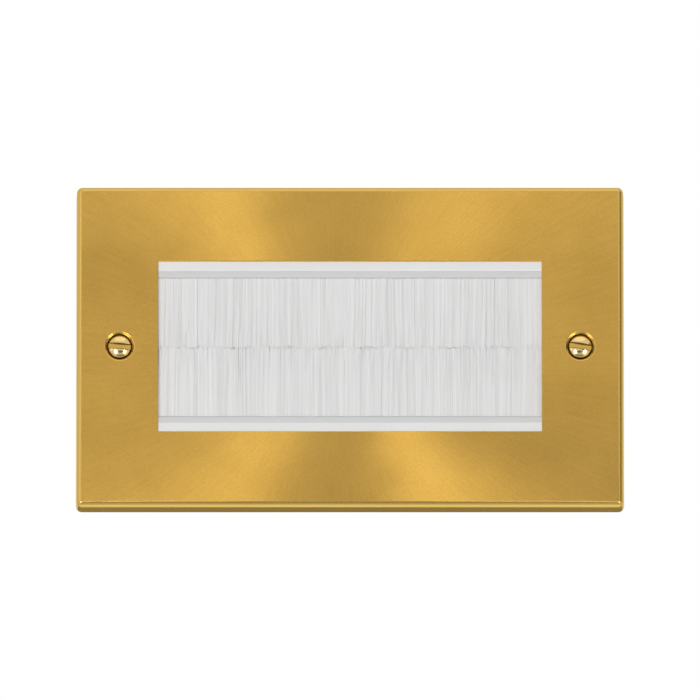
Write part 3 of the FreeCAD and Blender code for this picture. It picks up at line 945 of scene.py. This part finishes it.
# Bristles
fringe = {
    "layers": 14,
    "perLayer": 545,
    "jitter": 0.22,
    "thickness": 0.285,
    "sides": 3,
    "rings": 5,
    "spin": 10.0,  # degrees that a filament may be turned, either way
    "halfLength": 50.24,
    "rootZ": 20.6,
    "mouthZ": 18.5,
    "rootY": (-3.7, -2.3),
    "mouthY": (-5.27, -2.28),
    "tipY": (-5.15, -2.5),
    "tipZ": (-0.2, 0.65),
    "tipPower": 1.5,  # over 1, more tips are long than short
    "tipGirth": 0.95,
    "ragged": 0.13,  # slow rise and fall of the tips along the fringe
    "raggedWaves": (0.55, 1.31),  # radians per millimetre
    "clump": 1.1,  # pitch of the small bunches that the tips gather in
    "clumpDrift": (0.3, 1.3),  # unevenness of that pitch, and its radians per millimetre
    "gather": 0.2,
    "lean": 0.3,
    "leanSpread": 0.25,  # share of the lean that is each filament's own
    "leanWave": 0.21,
    "bend": 1.6,  # power by which the lean grows towards the tip
    "wave": 0.05,
    "waveTurns": (6.0, 4.0),  # least radians from mouth to tip, and how many more at random
    "waveShift": 9.0,
    "facing": (210.0, 30.0),  # degrees of the first corner in the front half and in the rest
}


def filaments(seed):
    # Centre lines of all filaments, as [filament, ring] points with the roots at the top: each
    # starts at an even random place of the root strip, spreads to the mouth and hangs to its
    # own length. Its tip leans a little and is drawn towards the nearest bunch.
    draw = np.random.default_rng(seed)
    layers, each, rings = fringe["layers"], fringe["perLayer"], fringe["rings"]
    count = layers * each
    half = fringe["halfLength"]
    number = np.arange(count)
    place = number % each + 0.5 + fringe["jitter"] * draw.normal(size=count)
    place += 0.5 * (number // each % 2)
    x0 = np.clip(place / each * 2 * half - half, -half, half)
    layer = (number // each + draw.random(count)) / layers

    def within(key, share):
        low, high = fringe[key]
        return low + (high - low) * share

    mouthY = within("mouthY", layer)
    rootY = within("rootY", layer)
    tipY = within("tipY", layer)
    tipZ = within("tipZ", draw.random(count) ** fringe["tipPower"])
    slow, fast = fringe["raggedWaves"]
    tipZ += fringe["ragged"] * (np.sin(x0 * slow + seed) + np.sin(x0 * fast + 2 * seed))
    drift, driftWave = fringe["clumpDrift"]
    bunch = np.round(x0 / fringe["clump"] + drift * np.sin(x0 * driftWave)) * fringe["clump"]
    own = draw.normal(size=count) * fringe["leanSpread"]
    lean = fringe["lean"] * (own + np.sin(x0 * fringe["leanWave"] + seed))
    tipX = x0 + fringe["gather"] * (bunch - x0) * draw.random(count) + lean
    tipX = np.clip(tipX, -half, half)
    t = np.linspace(0, 1, rings - 1)[None, :]
    z = fringe["mouthZ"] + (tipZ[:, None] - fringe["mouthZ"]) * t
    least, more = fringe["waveTurns"]
    turns = (least + more * draw.random(count))[:, None]
    wave = fringe["wave"] * np.sin(t * turns + x0[:, None] * fringe["waveShift"])
    x = x0[:, None] + (tipX - x0)[:, None] * t ** fringe["bend"] + wave * t
    y = mouthY[:, None] + (tipY - mouthY)[:, None] * t
    root = stackPoints(x0, rootY, fringe["rootZ"])[:, None]
    lines = np.concatenate([root, stackPoints(x, y, z)], 1)
    return lines, draw.random(count), draw.normal(size=count), layer


def makeFringe(side, node, seed):
    # thin three-sided tubes along the centre lines, narrowing a little towards the tips; a flat
    # side of each faces out, to the front in the front half and to the back in the rest
    lines, tone, spin, layer = filaments(seed)
    count, rings, sides = len(lines), fringe["rings"], fringe["sides"]
    turn = np.arange(sides) / sides * 2 * np.pi
    girth = fringe["thickness"] / 2 * np.linspace(1, fringe["tipGirth"], rings)
    start = np.radians(np.where(layer < 0.5, *fringe["facing"]) + fringe["spin"] * spin)[:, None, None]
    ring = np.stack([np.cos(turn + start), np.sin(turn + start)], -1) * girth[None, :, None, None]
    points = np.repeat(lines[:, :, None, :], sides, 2)
    points[..., :2] += ring
    if side < 0:
        points[..., 2] *= -1
    grid = np.arange(count * rings * sides).reshape(count, rings, sides)
    after = np.roll(grid, -1, 2)
    walls = np.stack([grid[:, :-1], after[:, :-1], after[:, 1:], grid[:, 1:]], -1).reshape(-1, 4)
    caps = np.concatenate([grid[:, 0, ::-1], grid[:, -1]]).reshape(-1, sides)
    if side > 0:
        walls, caps = walls[:, ::-1], caps[:, ::-1]
    corners = np.concatenate([walls.ravel(), caps.ravel()])
    sizes = np.repeat([4, sides], [len(walls), len(caps)])
    mesh = newMesh(node + "_filaments", points.reshape(-1, 3) * mm, corners, sizes)
    mesh.polygons.foreach_set("use_smooth", np.zeros(len(sizes), bool))
    setAttribute(mesh, "tone", np.repeat(tone, rings * sides))
    finishPiece(newObject(node + "_filaments", mesh), node, "white_filament")


# Camera, light and floor
studio = {
    "lift": -12.2,  # degrees; the camera looks up at the plate from a little below
    "distance": 7.0,
    "frameWidth": 0.18318,  # metres across the picture at the plate
    "aim": (0.0, -0.007, -0.00105),
    "sensor": 36.0,
    "clip": (0.1, 40.0),
    "floor": -1.6,
    "floorReach": 4.0,
    "floorTone": 0.85,
    "floorRoughness": 0.8,
    "floorWhite": 0.8,  # share of plain white where the floor is seen
    "worldLight": 0.3,
    "key": (-0.15, -1.95, -0.35),
    "keySize": (1.1, 1.1),
    "keyRadiance": 7.5,
    "cardSides": 32,
}
# round cards that only reflections show: azimuth and height in degrees, distance, width and
# tallness in metres, and brightness, where 0 is black and 1 is white
cards = {
    "sheenLeft": (-32.0, -24.0, 0.8, 0.28, 0.36, 6.7),
    "sheenRight": (34.0, -25.0, 1.6, 0.54, 0.70, 9.2),
    "overhead": (0.0, 62.0, 1.0, 1.1, 0.7, 1.35),
    "sweep": (0.0, -115.0, 0.6, 1.0, 0.45, 1.4),
    "sideLeft": (-57.0, 8.0, 0.5, 0.12, 0.4, 1.6),
    "flagFront": (0.0, -25.0, 0.5, 0.34, 0.14, 0.2),
    "flagBelow": (0.0, -52.0, 0.5, 0.5, 0.14, 0.35),
    "flagCorner": (32.0, -6.0, 0.35, 0.15, 0.13, 0.0),
    "flagRight": (78.0, 8.0, 0.4, 0.28, 0.3, 0.3),
    "flagBehind": (180.0, -17.0, 0.35, 0.4, 0.17, 0.25),
}


def makeCamera():
    data = bpy.data.cameras.new("camera")
    data.sensor_width = studio["sensor"]
    data.lens = studio["sensor"] * studio["distance"] / studio["frameWidth"]
    data.clip_start, data.clip_end = studio["clip"]
    camera = newObject("camera", data)
    lift = math.radians(studio["lift"])
    back = Vector((0, -math.cos(lift), math.sin(lift)))
    camera.location = Vector(studio["aim"]) + back * studio["distance"]
    camera.rotation_euler = (math.radians(90) - lift, 0, 0)
    bpy.context.scene.camera = camera
    print("camera set")


def makeKey():
    # one large soft box; its radiance is its brightness as seen, where 1 is white
    data = bpy.data.lights.new("key", "AREA")
    data.shape = "RECTANGLE"
    data.size, data.size_y = studio["keySize"]
    data.energy = studio["keyRadiance"] * math.pi * data.size * data.size_y
    light = newObject("key", data)
    light.location = studio["key"]
    light.rotation_euler = (-light.location).to_track_quat("-Z", "Y").to_euler()
    light.visible_glossy = False


def makeWorld():
    # even pale light, and plain white where the camera, metal or glass sees the background
    world = bpy.data.worlds.new("studio")
    bpy.context.scene.world = world
    tree = Tree(world, "Background")
    tree.set(tree.shader, {"Color": (1, 1, 1, 1), "Strength": studio["worldLight"]})
    white = tree.add("Background", 0, {"Color": (1, 1, 1, 1), "Strength": 1.0})
    tree.whiten(tree.seenDirectly(), white, "World Output")


def makeFloor():
    mesh = bpy.data.meshes.new("floor")
    reach, tone = studio["floorReach"], studio["floorTone"]
    corners = [(-reach, -reach), (reach, -reach), (reach, reach), (-reach, reach)]
    mesh.from_pydata([(x, y, studio["floor"]) for x, y in corners], [], [(0, 1, 2, 3)])
    look = newLook("floor")
    look.set(look.shader, {"Base Color": (tone, tone, tone, 1), "Roughness": studio["floorRoughness"]})
    share = look.add("Math", 0, {0: look.seenDirectly(), 1: studio["floorWhite"]}, operation="MULTIPLY")
    look.whiten(share, look.add("Emission", 0), "Material Output")
    mesh.materials.append(look.owner)
    newObject("floor", mesh)
    print("floor and world set")


def makeCard(name, azimuth, height, distance, width, tallness, brightness):
    # a flat round card that faces the plate's middle
    turn, lift = math.radians(azimuth), math.radians(height)
    out = np.array([math.sin(turn) * math.cos(lift), -math.cos(turn) * math.cos(lift), math.sin(lift)])
    side = np.array([math.cos(turn), math.sin(turn), 0])
    up = np.cross(side, out)
    angle = np.linspace(0, 2 * np.pi, studio["cardSides"] + 1)[:-1, None]
    corners = out * distance + side * width / 2 * np.cos(angle) + up * tallness / 2 * np.sin(angle)
    mesh = bpy.data.meshes.new(name)
    mesh.from_pydata(corners.tolist(), [], [list(range(len(corners)))])
    look = newLook(name)
    look.set(look.shader, {
        "Base Color": (0, 0, 0, 1),
        "Specular IOR Level": 0.0,
        "Emission Color": (1, 1, 1, 1),
        "Emission Strength": brightness,
    })
    mesh.materials.append(look.owner)
    card = newObject(name, mesh)
    for ray in ("camera", "diffuse", "shadow", "transmission"):
        setattr(card, "visible_" + ray, False)


def dressNode(node, slot):
    # a CAD node that keeps its own mesh
    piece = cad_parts[node]
    for place in piece.material_slots:
        place.material = looks[slot]
    if not piece.material_slots:
        piece.data.materials.append(looks[slot])
    print("dressed", node)


scene = bpy.context.scene
scene.view_settings.view_transform = "Standard"
makeCamera()
makeWorld()
makeFloor()
makeKey()
for name, sizes in cards.items():
    makeCard(name, *sizes)
print("lights set")

looks = {
    "satin_brass": makeSatinBrass(),
    "polished_brass": makePolishedBrass(),
    "plain_brass": makePlain("plainBrass"),
    "plated_steel": makePlain("platedSteel"),
    "white_moulding": makePlain("whiteMoulding"),
    "black_nylon": makePlain("blackNylon"),
    "grey_extrusion": makeExtrusion(),
    "white_filament": makeFilament(),
}
print("materials made")

makeFrontPlate()
makeFixingScrew("left", "left_fixing_screw")
makeFixingScrew("right", "right_fixing_screw")
makeHolder(1, "upper_strip_holder")
makeHolder(-1, "lower_strip_holder")
makeFringe(1, "upper_bristles", seed=11)
makeFringe(-1, "lower_bristles", seed=12)
makeStuds()
makeNuts()
makeEarthScrew()

# moulded and pressed pieces keep the CAD's form, with their edges rounded by some width
softened = {
    "brush_frame": ("white_moulding", 0.1),
    "brush_keeper": ("white_moulding", 0.12),
    "left_screw_retainer": ("white_moulding", 0.12),
    "right_screw_retainer": ("white_moulding", 0.12),
    "mounting_frame": ("black_nylon", 0.15),
    "earth_tab": ("plain_brass", 0.1),
    "earth_terminal": ("plain_brass", 0.15),
}
for node, (slot, width) in softened.items():
    softenedCopy(node, slot, width)
for node in ("upper_strip_channel", "lower_strip_channel", "upper_core_wire", "lower_core_wire"):
    dressNode(node, "plated_steel")
